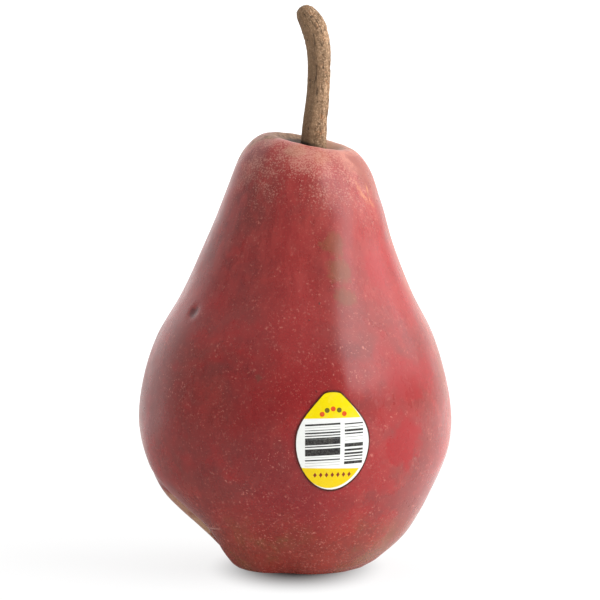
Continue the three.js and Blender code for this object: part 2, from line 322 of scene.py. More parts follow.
CALYX_SOCKET_RADIUS, STEM_SOCKET_RADIUS = OUTLINE[0][0], OUTLINE[-1][0]
CALYX_SOCKET_TOP, STEM_SOCKET_FLOOR = 9, 88.5
fruit = ring_mesh(
    "pear_fruit",
    np.concatenate([
        socket_rings(CALYX_SOCKET_RADIUS, CALYX_AT[0], [CALYX_SOCKET_TOP, CALYX_SOCKET_TOP - 1.5]),
        skin_rings,
        socket_rings(STEM_SOCKET_RADIUS, STEM_AT[0], [STEM_SOCKET_FLOOR + 3, STEM_SOCKET_FLOOR]),
    ]),
    [CALYX_AT[0], 0, CALYX_SOCKET_TOP],
    [STEM_AT[0], 0, STEM_SOCKET_FLOOR],
)
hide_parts("fruit")

# %% [markdown]
# ## The stem
# A woody stem, a little thicker where it leaves the flesh and swollen at its tip, where it parted
# from the spur. It is a tube carried along a bent line. Cork ridges run along it, rougher on one
# side, a few rings cross it near the tip, and its end is a broken, rounded face.

# %% The stem's centre line and bark
STEM_LINE = [(4.1, 0, 89), (4.1, 0, 96), (4.5, 0.1, 103), (5.2, 0.4, 109.5), (5.5, 0.6, 116),
             (5.2, 0.5, 121.6), (4, 0.1, 126.1), (1.3, -0.4, 130.3)]
# distance along the stem and radius there
STEM_RADII = np.array([(0, 2.7), (7, 2.7), (8.8, 3.05), (11, 2.85), (15.5, 2.75), (21.5, 2.62), (27.5, 2.56),
                       (32.5, 2.75), (36.6, 2.9), (39, 2.65), (40.8, 2.2), (41.8, 1.5), (42.2, 0.6)])
STEM_LENGTH = 42.3
STEM_AROUND, STEM_ALONG = 120, 420

fine = curve_through(STEM_LINE, np.linspace(0, 1, 3000))
walked = np.concatenate([[0], np.cumsum(np.linalg.norm(np.diff(fine, axis=0), axis=1))])


def stem_middle(along):
    """The point of the centre line at a distance along it, out of STEM_LENGTH in all."""
    at = along / STEM_LENGTH * walked[-1]
    return np.stack([np.interp(at, walked, fine[:, i]) for i in range(3)], -1)


def bark_relief(angle, along):
    """Cork on the stem: seven wandering ridges, lumps stretched along the grain, small pits, and
    crosswise rings near the tip. One side carries thicker cork. It fades out in the socket."""
    straight = np.stack([3 * np.cos(angle), 3 * np.sin(angle), 0.22 * along], -1)
    wander = smooth_noise(straight, 2.2, 11)
    ridges = np.cos(7 * angle + 2.2 * wander + 0.05 * along)
    lumps = smooth_noise(straight * [1, 1, 1.6], 1.1, 12)
    crumbs = smooth_noise(straight * [1, 1, 3], 0.5, 13)
    pits = soft_step(0.45, 0.8, smooth_noise(straight * [1, 1, 2], 0.7, 14))
    corky = 0.45 + 0.55 * soft_step(-0.3, 0.8, np.cos(angle + 0.5))
    rings = np.sin(along * 4.2) * soft_step(30, 34, along) * (1 - soft_step(36, 38, along))
    height = 0.07 * ridges + corky * (0.11 * lumps + 0.06 * crumbs - 0.2 * pits) + 0.03 * rings
    return height * soft_step(6.5, 9, along)


# %% The stem
steps_along = np.linspace(0, STEM_LENGTH - 0.1, STEM_ALONG)
along, angle = np.meshgrid(steps_along, full_turn(STEM_AROUND), indexing="ij")
radius = np.interp(along, *STEM_RADII.T) + bark_relief(angle, along)
middle = stem_middle(along)
forwards = unit(np.gradient(middle, axis=0))
backwards = unit(np.cross(forwards, [1, 0, 0]))
sideways = np.cross(backwards, forwards)
stem_rings = tube_rings(middle, sideways, backwards, radius, angle)
stem = ring_mesh("pear_stem", stem_rings, stem_middle(np.array(0.0)), stem_middle(np.array(STEM_LENGTH)))
straight = np.stack([radius * np.cos(angle), radius * np.sin(angle), along], -1).reshape(-1, 3)
give_vectors(stem, "straight_stem", np.vstack([straight, [0, 0, 0], [0, 0, STEM_LENGTH]]) * MM)
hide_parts("stem")

# %% [markdown]
# ## The dried calyx
# Underneath, the flower's remains sit in the basin: a short dry cup, five narrow sepals that curl
# outwards and down, and a tuft of thread-like stamens. Each sepal is a pointed strip on a grid, and
# the cup and stamens are turned tubes, so one function of two parameters makes each of them. They
# are one piece, because they grew as one.

# %% Calyx: sepals, cup and stamens
CALYX_X = CALYX_AT[0]
SEPAL_COUNT, SEPAL_ROWS, SEPAL_COLUMNS = 5, 22, 13
STAMEN_COUNT = 10
FIRST_SEPAL = radians(186 + 180 / SEPAL_COUNT)
CUP_RADIUS, CUP_MOUTH_RADIUS, CUP_TOP, CUP_MOUTH = 2.2, 2.0, 8.6, 4.3


def sepal_sheet(turned, along, across, lift):
    """One sepal's face. It runs outwards from 1.3 to 5.6 mm, its half width is 1.5 mm times the
    root of a sine so that it ends in a point, it curls down by the way along to the power of 1.6,
    and its edges rise by the square of the way across. lift moves the face up or down."""
    half_width = 1.5 * np.sqrt(np.clip(np.sin(np.pi * (0.12 + 0.88 * along)), 0, 1)) * (1 - 0.35 * along)
    out = 1.3 + 4.3 * along
    sideways = across * half_width
    wrinkle = 0.05 * np.sin(9 * along + 3 * turned) * np.cos(4 * across + turned)
    level = 4.35 - 2.2 * along**1.6 + 0.35 * across**2 * along + wrinkle + lift
    x = out * np.cos(turned) - sideways * np.sin(turned)
    y = out * np.sin(turned) + sideways * np.cos(turned)
    return np.stack([x + CALYX_X, y, level], -1)


def sepal_rings(turned):
    """A sepal's rows, each a loop: across its lower face and back across its upper face."""
    rows, columns = np.linspace(0, 1, SEPAL_ROWS), np.linspace(-1, 1, SEPAL_COLUMNS)
    along, across = np.meshgrid(rows, columns, indexing="ij")
    under = sepal_sheet(turned, along, across, -0.3 + 0.12 * along)
    upper = sepal_sheet(turned, along, across, 0.3 - 0.12 * along)
    return np.concatenate([under, upper[:, ::-1]], axis=1)


def turned_tube(start, end, start_radius, end_radius, rows=7, around=10):
    """A thin tube from one point to another, whose radius goes evenly from the first to the last."""
    start, end = np.array(start), np.array(end)
    forwards = unit(end - start)
    across = unit(np.cross(forwards, [0.3, 1, 0.2]))
    upwards = np.cross(forwards, across)
    share, angle = np.meshgrid(np.linspace(0, 1, rows), full_turn(around), indexing="ij")
    middle = start + (end - start) * share[..., None]
    return tube_rings(middle, across, upwards, start_radius + (end_radius - start_radius) * share, angle)


def stamen_rings(number):
    """A stamen: a thin tube that leaves the cup's mouth and leans out as it comes down."""
    turned, spread = 2 * pi * number / STAMEN_COUNT, 0.6 + 0.5 * sin(5 * number)
    foot = np.array([CALYX_X + 0.9 * cos(turned), 0.9 * sin(turned), 4.5])
    tip = foot + [spread * cos(turned + 0.4), spread * sin(turned + 0.4), -2.1]
    return turned_tube(foot, tip, 0.2, 0.26)


def capped_faces(rows, around, first):
    """The faces of a stack of rings: a quad for each place of the grid, and a flat cap on each end."""
    row, step = np.meshgrid(first + around * np.arange(rows - 1), np.arange(around), indexing="ij")
    beside = (step + 1) % around
    quads = np.stack([row + step, row + beside, row + around + beside, row + around + step], -1)
    last = first + (rows - 1) * around
    caps = [list(range(first, first + around))[::-1], list(range(last, last + around))]
    return quads.reshape(-1, 4).tolist() + caps


cup = turned_tube((CALYX_X, 0, CUP_TOP), (CALYX_X, 0, CUP_MOUTH), CUP_RADIUS, CUP_MOUTH_RADIUS, 12, 48)
sepals = [sepal_rings(FIRST_SEPAL + 2 * pi * i / SEPAL_COUNT) for i in range(SEPAL_COUNT)]
calyx_points, calyx_faces = [], []
for rings in [*sepals, cup, *map(stamen_rings, range(STAMEN_COUNT))]:
    calyx_faces += capped_faces(*rings.shape[:2], sum(map(len, calyx_points)))
    calyx_points.append(rings.reshape(-1, 3))
calyx = new_piece("pear_calyx", np.vstack(calyx_points), calyx_faces)
work = bmesh.new()
work.from_mesh(calyx.data)
bmesh.ops.recalc_face_normals(work, faces=work.faces)
work.to_mesh(calyx.data)
work.free()
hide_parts("calyx")

# %% [markdown]
# ## The paper sticker
# Shops mark single pears with a thin paper sticker, egg-shaped here and bent round the belly. It is
# a grid laid on the skin's own formula and lifted off it by a hair, so it follows every swelling.
# The mesh keeps each point's place on the flat label in millimetres, for the print to read.

# %% Sticker
STICKER_ANGLE, STICKER_HEIGHT = radians(-76), 33.6
STICKER_HALF_WIDTH, STICKER_HALF_LENGTH = 8.75, 11.5
STICKER_NOSE, FLANK_SLOPE = 13.3, 0.95
STICKER_GAP, PAPER_THICKNESS = 0.04, 0.13
BELLY_RADIUS = 35.6
STICKER_TURNS, STICKER_RINGS = 180, 40


def sticker_place(turned, share):
    """A place on the flat label. Its half width is the smaller of an ellipse's and a straight
    flank's that runs to the nose, (w^-8 + f^-8)^(-1/8), so the two meet in a rounded shoulder."""
    up = STICKER_HALF_LENGTH * np.sin(turned)
    ellipse = STICKER_HALF_WIDTH * np.abs(np.cos(turned)) + 1e-6
    flank = FLANK_SLOPE * (STICKER_NOSE - up)
    half_width = (ellipse**-8 + flank**-8) ** (-1 / 8)
    return share * np.sign(np.cos(turned)) * half_width, share * up


def on_the_skin(right, up, lift):
    """The skin's point right and up of the sticker's middle, in millimetres along the belly."""
    share = np.interp(STICKER_HEIGHT + up, *HEIGHT_TO_SHARE)
    return skin(STICKER_ANGLE + right / BELLY_RADIUS, share, lift)


share, turned = np.meshgrid(
    np.concatenate([np.linspace(0.03, 0.97, STICKER_RINGS), [0.985, 0.995, 1]]),
    np.linspace(2 * np.pi, 0, STICKER_TURNS, endpoint=False),
    indexing="ij",
)
right, up = sticker_place(turned, share)
cockle = 0.03 * smooth_noise(np.stack([right, up, 0 * up], -1), 3.5, 21) + 0.05 * share**6
top_face = on_the_skin(right, up, STICKER_GAP + PAPER_THICKNESS + np.maximum(cockle, 0))
bottom_face = on_the_skin(right, up, STICKER_GAP + np.maximum(cockle, 0))
sticker_rings = np.concatenate([top_face, bottom_face[::-1]])
middle_top = on_the_skin(np.array(0.0), np.array(0.0), np.array(STICKER_GAP + PAPER_THICKNESS))
middle_bottom = on_the_skin(np.array(0.0), np.array(0.0), np.array(STICKER_GAP))
sticker = ring_mesh("pear_sticker", sticker_rings, middle_top, middle_bottom)
flat = np.stack([right, up, share], -1)
both_faces = np.concatenate([flat, flat[::-1]]).reshape(-1, 3)
give_vectors(sticker, "label_place", np.vstack([both_faces, [0, 0, 0], [0, 0, 0]]))
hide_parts("sticker")

# %% [markdown]
# ## Shader helpers
# Blender's materials are graphs of nodes. Small functions make a graph read like a formula: each
# adds its node to the graph in hand, `tree`, and gives back the node's output. `tree` is set anew
# where a group or a material begins.

# %% Shader helpers: nodes, numbers and colours
def add_node(kind, inputs=None, **settings):
    """A new shader node. Settings are its properties, and inputs are values or other nodes' outputs."""
    made = tree.nodes.new("ShaderNode" + kind)
    for name, value in settings.items():
        setattr(made, name, value)
    for name, value in (inputs or {}).items():
        if isinstance(value, bpy.types.NodeSocket):
            tree.links.new(value, made.inputs[name])
        else:
            made.inputs[name].default_value = value
    return made


def maths(operation, *values, clamp=False):
    """One arithmetic step on values, such as FLOOR or LESS_THAN."""
    made = add_node("Math", dict(enumerate(values)), operation=operation, use_clamp=clamp)
    return made.outputs[0]


def times(first, *others):
    """The product of all values."""
    for other in others:
        first = maths("MULTIPLY", first, other)
    return first


def plus(first, second):
    """The sum of two values."""
    return maths("ADD", first, second)


def minus(first, second):
    """The first value less the second."""
    return maths("SUBTRACT", first, second)


def off(value, middle):
    """How far a value is from a middle, to either side."""
    return maths("ABSOLUTE", minus(value, middle))


def fade(value, low, high, to_low=0.0, to_high=1.0):
    """A soft step of a value from low to high, put out between to_low and to_high."""
    inputs = {"Value": value, "From Min": low, "From Max": high, "To Min": to_low, "To Max": to_high}
    return add_node("MapRange", inputs, interpolation_type="SMOOTHSTEP").outputs[0]


def blend(share, first, second):
    """The first colour where share is 0 and the second where it is 1."""
    first, second = (c if isinstance(c, bpy.types.NodeSocket) else (*c, 1) for c in (first, second))
    return add_node("Mix", {0: share, 6: first, 7: second}, data_type="RGBA").outputs[2]


# %% Shader helpers: places and patterns
def noise(place, scale, detail=2.0, roughness=0.5, distortion=0.0):
    """Blender's noise at a place, as a value about 0.5. Scale is in cells per metre."""
    inputs = {"Vector": place, "Scale": scale, "Detail": detail, "Roughness": roughness}
    return add_node("TexNoise", {**inputs, "Distortion": distortion}).outputs["Fac"]


def object_place():
    """The place on the object, in metres."""
    return add_node("TexCoord").outputs["Object"]


def axes(place):
    """The place's X, Y and Z, by name."""
    return add_node("SeparateXYZ", {"Vector": place}).outputs


def stretched(place, factors, offset=(0, 0, 0)):
    """The place scaled by a factor along each axis, so that a pattern on it is drawn out or packed."""
    return add_node("Mapping", {"Vector": place, "Scale": factors, "Location": offset}).outputs[0]


def on_vectors(operation, first, second):
    """One arithmetic step on two vectors."""
    return add_node("VectorMath", {0: first, 1: second}, operation=operation).outputs


def distance_from(place, point):
    """The distance of a place from a point, in metres."""
    return on_vectors("DISTANCE", place, tuple(point))["Value"]


def bump(relief, strength, depth):
    """The normal of a surface with fine relief, whose depth is in metres."""
    return add_node("Bump", {"Height": relief, "Strength": strength, "Distance": depth}).outputs[0]


# %% Shader helpers: materials
def new_material(name, **constants):
    """A material, and its graph, with one Principled shader that carries the constants itself."""
    material = bpy.data.materials.new(name)
    material.use_nodes = True
    shader = material.node_tree.nodes["Principled BSDF"]
    for socket, value in constants.items():
        shader.inputs[socket.replace("_", " ")].default_value = value
    return material, material.node_tree


def dress(piece, material, **outputs):
    """Joins outputs to the shader's sockets of the same names, and puts the material on the piece."""
    shader = material.node_tree.nodes["Principled BSDF"]
    for socket, output in outputs.items():
        material.node_tree.links.new(output, shader.inputs[socket.replace("_", " ")])
    piece.data.materials.append(material)
    print(piece.name, "wears", material.name, "with", len(material.node_tree.nodes), "nodes")


# %% [markdown]
# ## Two effects that several finishes share
# Specks are scattered dots: breathing pores on the skin, pits in the bark, dust on the dry calyx.
# They come from cells of a Voronoi pattern, where the distance to the cell's middle is small.
# Mottle is a soft uneven patchiness made of two sizes of noise. Each is a group of nodes with
# named inputs, built once.

# %% Group helper
def new_group(name, inputs, output):
    """An empty node group with float inputs after a Vector, and one float output."""
    group = bpy.data.node_groups.new(name, "ShaderNodeTree")
    group.interface.new_socket("Vector", in_out="INPUT", socket_type="NodeSocketVector")
    for label, value in inputs.items():
        socket = group.interface.new_socket(label, in_out="INPUT", socket_type="NodeSocketFloat")
        socket.default_value = value
    group.interface.new_socket(output, in_out="OUTPUT", socket_type="NodeSocketFloat")
    return group, group.nodes.new("NodeGroupInput").outputs, group.nodes.new("NodeGroupOutput")


# %% Group: scattered specks
tree, given, result = new_group("scattered_specks", {"Cells": 450.0, "Size": 0.2, "Share": 0.5}, "Specks")
scattered_specks = tree
cells = add_node("TexVoronoi", {"Vector": given["Vector"], "Scale": given["Cells"]}).outputs
chance = add_node("SeparateColor", {"Color": cells["Color"]}).outputs
size = times(given["Size"], fade(chance["Green"], 0, 1, 0.45, 1))
dot = fade(cells["Distance"], times(size, 0.6), size, 1, 0)
tree.links.new(times(dot, maths("LESS_THAN", chance["Red"], given["Share"])), result.inputs[0])


def specks(place, cells, size, share):
    """Specks at a place: cells to a metre, a size in cells, and the share of the cells with one."""
    inputs = {"Vector": place, "Cells": cells, "Size": size, "Share": share}
    return add_node("Group", inputs, node_tree=scattered_specks).outputs[0]


# %% Group: mottle
tree, given, result = new_group("mottle", {"Scale": 60.0, "Low": 0.4, "High": 0.6, "Seed": 0.0}, "Patches")
mottle = tree
moved = on_vectors("ADD", given["Vector"], given["Seed"])[0]
broad = noise(moved, given["Scale"], 3, 0.55, 0.6)
close = noise(moved, times(given["Scale"], 4.3), 2, 0.6, 0.3)
both = plus(times(broad, 0.72), times(close, 0.28))
tree.links.new(fade(both, given["Low"], given["High"]), result.inputs[0])


def mottled(place, scale, low, high, seed):
    """Patches at a place: none where the noise is below low, and full where it is above high."""
    inputs = {"Vector": place, "Scale": scale, "Low": low, "High": high, "Seed": seed}
    return add_node("Group", inputs, node_tree=mottle).outputs[0]


print("groups:", [group.name for group in bpy.data.node_groups])

# %% [markdown]
# ## The skin
# A red pear's skin is a deep crimson over a green-brown ground, under a thin wax that makes it half
# matt. The red is uneven: strong crimson patches, browner ones, streaks up the neck, and an olive tint
# near the blossom end and at the back. Painted light lies over it too: a brighter red on the right
# front of the neck, where the soft boxes fall, and a paler, tan band down the right flank, where the
# rim catches light.
# Pale pores crowd over it. So colours are laid over each other, each with its own mask, as a painter
# would glaze them. A warm sheen stands for the bloom that brightens the rims.

# %% Skin: where things are
skin_material, tree = new_material(
    "waxy_red_skin", Specular_IOR_Level=0.42,
    Sheen_Weight=0.15, Sheen_Roughness=0.35, Sheen_Tint=(1, 0.42, 0.36, 1),
)
place = object_place()
at = axes(place)
height = at["Z"]
around = maths("ARCTAN2", at["Y"], at["X"])
from_stem = distance_from(place, STEM_AT * MM)
from_calyx = distance_from(place, CALYX_AT * MM)

# %% Skin: patches of red
RED, CRIMSON, BRICK = (0.215, 0.016, 0.016), (0.265, 0.01, 0.0115), (0.165, 0.025, 0.022)
PLUM, ROSE, OLIVE = (0.12, 0.012, 0.015), (0.33, 0.036, 0.03), (0.15, 0.07, 0.024)
DEEP, PAINTED_LIT_RED, TAN = (0.18, 0.006, 0.009), (0.36, 0.02, 0.02), (0.42, 0.19, 0.105)
brick_share = times(mottled(place, 30, 0.38, 0.6, 0.3), 0.85)
red = blend(brick_share, RED, BRICK)
red = blend(times(mottled(place, 46, 0.47, 0.62, 1.9), 0.85), red, CRIMSON)
red = blend(times(mottled(place, 85, 0.5, 0.7, 1.7), 0.5), red, PLUM)
red = blend(times(mottled(place, 150, 0.5, 0.66, 3.6), 0.3), red, ROSE)

# %% Skin: the blush, the painted lit side and the streaks
blush = fade(off(around, radians(-92)), 0.1, 0.5, 1, 0)
blush = times(blush, mottled(place, 70, 0.34, 0.52, 9.3), fade(height, 0.04, 0.06, 0.8, 0.5))
red = blend(blush, red, blend(fade(height, 0.04, 0.062), DEEP, CRIMSON))
up_the_neck = fade(height, 0.05, 0.085)
# Painted light: the right front of the neck, where the soft boxes fall, is painted a brighter red.
painted_lit_side = fade(off(around, radians(-45)), 0.25, 0.62, 0.4, 0)
red = blend(times(painted_lit_side, up_the_neck), red, PAINTED_LIT_RED)
streaks = noise(stretched(place, (1, 1, 0.14)), 480, 3, 0.6, 0.4)
streak_share = times(fade(streaks, 0.42, 0.7), fade(up_the_neck, 0, 1, 0.12, 0.5))
red = blend(streak_share, red, ROSE)

# %% Skin: the olive ground and the painted rim highlight
low_down = fade(height, 0.022, 0.002)
olive_patches = mottled(place, 60, 0.42, 0.64, 4.4)
mostly_olive = fade(olive_patches, 0, 1, 0.3, 1)
olive_low = times(mostly_olive, fade(low_down, 0, 1, 0.03, 0.75))
olive_behind = times(mostly_olive, fade(at["Y"], 0.002, 0.03, 0, 0.45))
ground = blend(maths("ADD", olive_low, olive_behind, clamp=True), red, OLIVE)
ground = blend(fade(noise(place, 2100, 2, 0.6), 0.35, 0.65, 0, 0.16), ground, ROSE)
# Painted highlight: a paler, tan band down the right flank, where the rim catches light.
painted_rim_highlight = fade(off(around, radians(2)), 0.1, 0.42, 0.34, 0)
painted_rim_highlight = times(painted_rim_highlight, fade(height, 0.02, 0.035), fade(height, 0.078, 0.092, 1, 0.2))
painted_rim_highlight = times(painted_rim_highlight, fade(olive_patches, 0, 1, 0.45, 1))
ground = blend(painted_rim_highlight, ground, TAN)

# %% Skin: pores
PORE = (0.54, 0.19, 0.145)
wobble = add_node("TexNoise", {"Vector": place, "Scale": 1300.0, "Detail": 1.0}).outputs["Color"]
wobble = on_vectors("MULTIPLY", wobble, (0.0013, 0.0013, 0.0013))[0]
bent_place = on_vectors("ADD", place, wobble)[0]
pores = specks(bent_place, 980, 0.27, 0.9)
fine_pores = specks(bent_place, 1600, 0.36, 0.8)
crowding = mottled(place, 95, 0.42, 0.62, 6.1)
crowding = maths("MAXIMUM", crowding, fade(height, 0.022, 0.009, 0.35, 0.85))
crowding = times(crowding, fade(height, 0.04, 0.075, 1, 0.6))
dotted = blend(times(fine_pores, crowding, 0.55), ground, PORE)
dotted = blend(times(pores, crowding, 0.62), dotted, PORE)

# %% [markdown]
# Around the stem and in the basin the skin is russeted: tan, rough and ragged at its edge. Down the
# shoulder the russet breaks up into specks, where a fine noise passes a threshold that rises with
# the distance from the stem. Inside the cavity, left of the stem, the skin is painted dark as shade,
# and the cavity's right wall is painted a pale russet as painted light.

# %% Skin: russet around the stem and in the basin
RUSSET, DARK_RUSSET, TAN_SPECK = (0.27, 0.155, 0.085), (0.12, 0.06, 0.028), (0.45, 0.19, 0.145)
PAINTED_LIT_RUSSET, CAVITY_PAINTED_SHADE = (0.42, 0.215, 0.145), (0.03, 0.015, 0.008)
grit = noise(place, 1000, 3, 0.7)
russet_colour = blend(fade(grit, 0.4, 0.62), DARK_RUSSET, RUSSET)
raggedness = fade(noise(place, 150, 4, 0.65), 0.3, 0.7, 0.004, -0.004)
ragged = plus(from_stem, raggedness)
behind_stem = distance_from(place, (STEM_AT + [-4, 4, 2]) * MM)
near_stem = fade(plus(behind_stem, raggedness), 0.0135, 0.0075)
threshold = fade(ragged, 0.007, 0.028, 0.42, 0.7)
speck_zone = fade(minus(noise(place, 2700, 2, 0.6), threshold), -0.01, 0.06)
speck_zone = times(speck_zone, fade(from_stem, 0.008, 0.034, 0.75, 0.3))
in_basin = fade(plus(from_calyx, fade(grit, 0.3, 0.7, 0.002, -0.002)), 0.011, 0.005)
russet_share = maths("MAXIMUM", near_stem, in_basin)
dotted = blend(fade(ragged, 0.008, 0.02, 0.3, 0), dotted, TAN_SPECK)
dotted = blend(speck_zone, dotted, TAN_SPECK)
coloured = blend(russet_share, dotted, russet_colour)

# %% Skin: painted shade and light inside the stem's cavity
left_of_stem = fade(at["X"], 0.0035, 0.008, 1, 0)
# Painted light: the cavity's wall right of the stem is painted a pale russet.
painted_lit_wall = times(fade(left_of_stem, 0, 1, 0.7, 0), russet_share)
coloured = blend(painted_lit_wall, coloured, PAINTED_LIT_RUSSET)
# Painted shade: the cavity left of the stem is painted dark.
cavity_reach = plus(from_stem, fade(left_of_stem, 0, 1, 0.0008, -0.0026))
painted_cavity_shade = times(fade(cavity_reach, 0.0068, 0.0054, 0, 0.95), fade(left_of_stem, 0, 1, 0.2, 1))
coloured = blend(painted_cavity_shade, coloured, CAVITY_PAINTED_SHADE)

# %% [markdown]
# Handling and weather leave single marks: a small bruise, dark spots, scabs, olive and pale blots,
# deeper crimson ones, and orange streaks on the shoulder. Each is a ball of colour round a point of
# the skin's own formula, with a ragged edge. Along the crest of the front lobe runs a thin pale line,
# a painted highlight where the crest turns away, and the crest has one thin scratch.

# %% Skin: single marks
# angle in degrees, height and radius in millimetres, strength and colour of each mark
SPOT, SCAB = (0.03, 0.01, 0.01), (0.1, 0.05, 0.03)
OLIVE_BLOT, RED_BLOT = (0.15, 0.08, 0.024), (0.26, 0.01, 0.012)
MARKS = [
    (213.6, 61, 2.0, 0.75, (0.07, 0.006, 0.008)), (-79, 64, 0.4, 0.8, SPOT), (-84, 60.5, 0.35, 0.7, SPOT),
    (-82, 45, 0.4, 0.7, SPOT), (-104, 48, 1.3, 0.35, SCAB), (216, 49, 1.5, 0.5, CRIMSON),
    (40, 50, 1.2, 0.5, SCAB), (120, 62, 1.8, 0.5, PLUM), (95, 30, 0.5, 0.7, SPOT),
    (150, 40, 2.6, 0.35, SCAB), (10, 70, 0.4, 0.7, SPOT), (170, 9, 5.5, 0.8, (0.4, 0.25, 0.15)),
    (172, 14, 5.5, 0.7, (0.4, 0.24, 0.15)), (-2, 92, 4, 0.25, (0.45, 0.16, 0.07)),
    (-69, 77, 3.4, 0.35, OLIVE_BLOT), (-67, 71, 3.6, 0.4, OLIVE_BLOT), (-66, 65, 3, 0.35, OLIVE_BLOT),
    (-41, 70, 4.8, 0.75, (0.29, 0.012, 0.014)), (-42, 46, 7, 0.7, RED_BLOT), (-28, 47, 5, 0.6, RED_BLOT),
    (-35, 98, 5.5, 0.12, TAN), (-105, 97.6, 3, 0.3, (0.36, 0.2, 0.12)), (-75, 97.4, 3, 0.25, TAN),
    (-22, 94.5, 7, 0.75, (0.24, 0.055, 0.038)), (-46, 32, 7.5, 0.85, (0.26, 0.004, 0.006)),
    (184, 29, 9, 0.35, (0.4, 0.14, 0.1)),
]
WOBBLE_MIDDLE = 0.00065
ragged_edge = minus(noise(place, 330, 3, 0.65), 0.5)


def near_place(degrees, level, radius, strength):
    """The share of a mark: its strength in the middle, fading out ragged towards its radius."""
    middle = skin(np.array(radians(degrees)), np.array(np.interp(level, *HEIGHT_TO_SHARE)))
    away = distance_from(bent_place, middle * MM + WOBBLE_MIDDLE)
    away = plus(away, times(ragged_edge, 1.6 * radius * MM))
    return fade(away, radius * 0.5 * MM, radius * MM, strength, 0)


for degrees, level, radius, strength, colour in MARKS:
    coloured = blend(near_place(degrees, level, radius, strength), coloured, colour)
sun_streaks = times(near_place(-31, 91, 5, 0.5), fade(streaks, 0.5, 0.64))
coloured = blend(sun_streaks, coloured, (0.52, 0.23, 0.1))

# %% Skin: a painted highlight along the front lobe's crest, and a scratch
# the crest runs up from this angle and height, and turns back by half a degree a millimetre
CREST_ANGLE, CREST_FOOT, CREST_TURN = radians(203.5 - 360), 0.0067, radians(500)
SCRATCH_ANGLE, SCRATCH_HEIGHT, SCRATCH_RISE = radians(-146), 0.0106, 0.0022
crest_turn = plus(around, times(minus(height, CREST_FOOT), CREST_TURN))
along_crest = times(fade(height, 0.005, 0.007), fade(height, 0.015, 0.02, 1, 0))
# Painted highlight: a thin pale line along the front lobe's crest, where it turns away.
painted_crest_highlight = times(fade(off(crest_turn, CREST_ANGLE), 0.004, 0.018, 0.4, 0), along_crest)
coloured = blend(painted_crest_highlight, coloured, (0.62, 0.42, 0.33))
scratch_level = maths("MULTIPLY_ADD", minus(around, SCRATCH_ANGLE), SCRATCH_RISE, SCRATCH_HEIGHT)
scratch = fade(off(height, scratch_level), 0.00006, 0.0002, 0.5, 0)
scratch = times(scratch, fade(off(around, SCRATCH_ANGLE), 0.12, 0.26, 1, 0))
coloured = blend(scratch, coloured, (0.5, 0.3, 0.26))

# %% Skin: shine and fine relief
waxy = plus(fade(mottled(place, 120, 0.3, 0.7, 8.2), 0, 1, 0.2, 0.27), times(brick_share, 0.06))
streak_wax = times(fade(streaks, 0.4, 0.65, 0, 0.07), fade(height, 0.04, 0.07, 0.3, 1))
rough_russet = times(maths("MAXIMUM", russet_share, speck_zone), 0.3)
rough = maths("ADD", plus(waxy, streak_wax), rough_russet, clamp=True)
peel = plus(times(noise(place, 1500, 2, 0.5), 0.35), times(pores, 0.5))
peel = plus(peel, times(grit, russet_share, 2))
dress(fruit, skin_material, Base_Color=coloured, Roughness=rough, Normal=bump(peel, 0.3, 0.0001))

# %% [markdown]
# ## Bark
# The stem's bark is dry, grey-brown wood with lighter, grainy cork on one side, orange where the
# cork has flaked, and dark pits and cracks. Its foot, down in the cavity, is painted dark as shade.
# The pattern follows the stem, so it reads the straightened coordinates that the stem's mesh carries.

# %% Bark material
bark, tree = new_material("dry_bark", Specular_IOR_Level=0.3)
grain = add_node("Attribute", attribute_name="straight_stem").outputs["Vector"]
side = axes(grain)["X"]
WOOD, CORK, FLAKE, PIT = (0.175, 0.102, 0.053), (0.32, 0.195, 0.11), (0.3, 0.12, 0.042), (0.035, 0.02, 0.012)
fibres = noise(stretched(grain, (1, 1, 0.12)), 1500, 4, 0.65, 0.3)
cork_patches = mottled(grain, 330.0, 0.38, 0.62, 0.9)
corky_side = times(cork_patches, fade(side, -0.0015, 0.0022, 0.2, 1))
wood = blend(fade(fibres, 0.35, 0.7), WOOD, (0.2, 0.125, 0.07))
barky = blend(corky_side, wood, CORK)
flakes = mottled(grain, 520.0, 0.54, 0.66, 3.3)
barky = blend(times(flakes, fade(side, -0.0005, 0.002, 0.05, 0.75)), barky, FLAKE)
cork_grain = noise(grain, 2600, 2, 0.6)
on_cork = fade(side, -0.001, 0.0018, 0.2, 0.6)
barky = blend(times(fade(cork_grain, 0.5, 0.4), on_cork), barky, (0.1, 0.052, 0.028))
barky = blend(times(fade(cork_grain, 0.53, 0.64), on_cork), barky, (0.5, 0.34, 0.22))
pits = specks(stretched(grain, (1, 1, 0.5)), 1300.0, 0.3, 0.3)
barky = blend(times(pits, 0.8), barky, PIT)
cracks = fade(noise(stretched(grain, (1, 1, 0.1)), 900, 3, 0.7, 1.2), 0.42, 0.33)
barky = blend(times(cracks, 0.7), barky, PIT)
at = axes(object_place())
# Painted shade: the bark is darkened at its foot, below the cavity's lip.
above_lip = plus(at["Z"], times(at["X"], 0.21))
painted_foot_shade = times(fade(above_lip, 0.0993, 0.1, 0.92, 0), fade(at["X"], 0.002, 0.0065, 1, 0.35))
barky = blend(painted_foot_shade, barky, (0.02, 0.011, 0.007))
bark_height = minus(minus(plus(fibres, times(cork_patches, 0.8)), pits), cracks)
rough = fade(fibres, 0.3, 0.7, 0.72, 0.9)
dress(stem, bark, Base_Color=barky, Roughness=rough, Normal=bump(bark_height, 0.6, 0.00015))

# %% [markdown]
# ## Dry calyx
# The calyx has dried to a dark, papery brown, greyer at the sepals' tips. The grain and the dust
# come from the same two groups as the skin's and the bark's marks.

